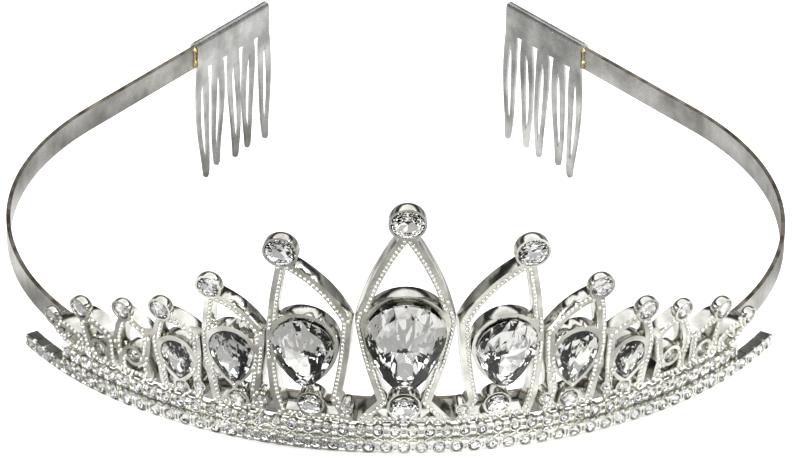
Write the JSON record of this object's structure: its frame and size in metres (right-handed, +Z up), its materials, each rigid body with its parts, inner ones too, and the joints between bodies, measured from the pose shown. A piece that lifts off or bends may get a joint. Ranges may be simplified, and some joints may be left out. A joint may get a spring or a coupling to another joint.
{
  "type": "rhinestone tiara",
  "caption": "Silver-coloured tiara: a springy steel head strip with a slotted comb at each end and jewelled pointed loops across the front over rows of small stones.",
  "frame": {"origin": "on the table plane, midway between the tiara's front and back, on its plane of symmetry", "axes": "+X to the wearer's left, which is the right-hand side seen from the front; -Y to the front with the tallest peak; +Z up from the table"},
  "size_m": [0.1408, 0.1756, 0.048],
  "materials": {
    "spring_steel": "satin, darker along the cut edges",
    "comb_steel": "stamped satin sheet",
    "braze": "dull brazed seam",
    "plated_casting": "bright plated casting with beaded edges",
    "cup_metal": "bright plated cups",
    "crystal": "clear faceted glass with a foiled back"
  },
  "bodies": {
    "ornament": {"foot_stones": "crystal", "headband_front": "spring_steel", "jewel_centre": "crystal", "jewel_left_1": "crystal", "jewel_left_2": "crystal", "jewel_left_3": "crystal", "jewel_left_4": "crystal", "jewel_left_5": "crystal", "jewel_left_6": "crystal", "jewel_right_1": "crystal", "jewel_right_2": "crystal", "jewel_right_3": "crystal", "jewel_right_4": "crystal", "jewel_right_5": "crystal", "jewel_right_6": "crystal", "lower_cup_chain": "cup_metal", "lower_row_stones": "crystal", "lower_stone_centre": "crystal", "lower_stone_left_1": "crystal", "lower_stone_left_2": "crystal", "lower_stone_left_3": "crystal", "lower_stone_right_1": "crystal", "lower_stone_right_2": "crystal", "lower_stone_right_3": "crystal", "peak_centre": "plated_casting", "peak_left_1": "plated_casting", "peak_left_2": "plated_casting", "peak_left_3": "plated_casting", "peak_left_4": "plated_casting", "peak_left_5": "plated_casting", "peak_left_6": "plated_casting", "peak_right_1": "plated_casting", "peak_right_2": "plated_casting", "peak_right_3": "plated_casting", "peak_right_4": "plated_casting", "peak_right_5": "plated_casting", "peak_right_6": "plated_casting", "tip_stone_centre": "crystal", "tip_stone_left_1": "crystal", "tip_stone_left_2": "crystal", "tip_stone_left_3": "crystal", "tip_stone_left_4": "crystal", "tip_stone_left_5": "crystal", "tip_stone_left_6": "crystal", "tip_stone_right_1": "crystal", "tip_stone_right_2": "crystal", "tip_stone_right_3": "crystal", "tip_stone_right_4": "crystal", "tip_stone_right_5": "crystal", "tip_stone_right_6": "crystal", "upper_cup_row": "cup_metal", "upper_row_stones": "crystal"},
    "left_arm": {"headband_left_arm": "spring_steel", "left_comb": "comb_steel", "left_comb_braze": "braze"},
    "right_arm": {"headband_right_arm": "spring_steel", "right_comb": "comb_steel", "right_comb_braze": "braze"}
  },
  "joints": [
    {"name": "right_arm_flex", "type": "hinge", "parent": "ornament", "child": "right_arm", "pos_m": [0.06122, -0.03432, 0.01145], "axis": [0, 0.1455, -0.9894], "range_deg": [-8, 15], "stiffness_Nm_per_rad": 1.2},
    {"name": "left_arm_flex", "type": "hinge", "parent": "ornament", "child": "left_arm", "pos_m": [-0.06122, -0.03432, 0.01145], "axis": [0, -0.1455, 0.9894], "range_deg": [-8, 15], "stiffness_Nm_per_rad": 1.2}
  ]
}
